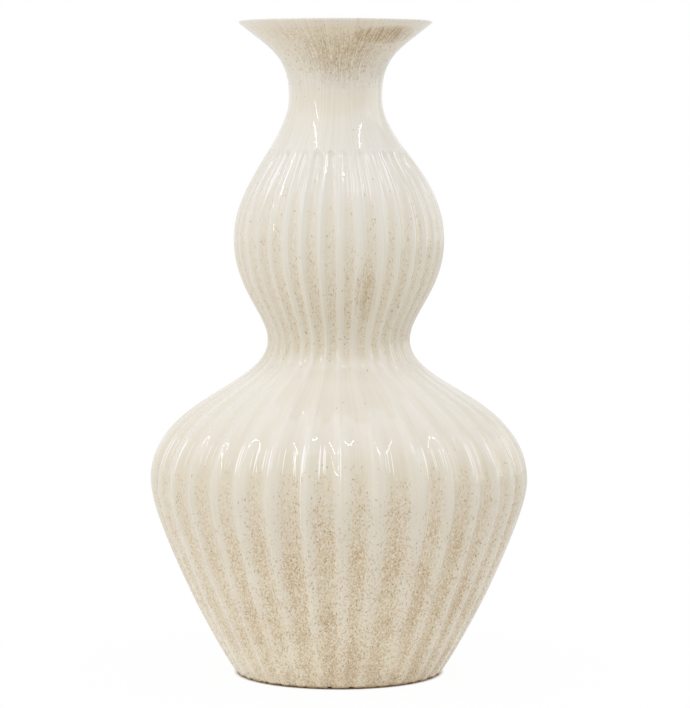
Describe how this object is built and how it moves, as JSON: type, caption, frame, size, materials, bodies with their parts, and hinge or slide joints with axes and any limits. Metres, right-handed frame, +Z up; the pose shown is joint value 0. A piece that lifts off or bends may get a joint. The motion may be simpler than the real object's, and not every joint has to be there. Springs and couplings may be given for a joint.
{
  "type": "vase",
  "caption": "Tall double-gourd vase in glazed earthenware, with fluted walls, a plain neck and a wide trumpet mouth, for cut or dried stems.",
  "frame": {"origin": "on the table under the vase's axis, at the undersides of the felt pads", "axes": "+Z up along the vase's axis, -Y towards the front as pictured, +X to the right"},
  "size_m": [0.289, 0.2886, 0.5],
  "materials": {
    "glazed_earthenware": "glossy cream glaze with fine tan and brown flecks, bare clay on the foot ring",
    "felt": "dark matt pressed felt"
  },
  "bodies": {
    "root": {"lower_body": "glazed_earthenware", "upper_bulb": "glazed_earthenware", "neck_and_mouth": "glazed_earthenware", "felt_pad_1": "felt", "felt_pad_2": "felt", "felt_pad_3": "felt", "felt_pad_4": "felt"}
  },
  "joints": []
}
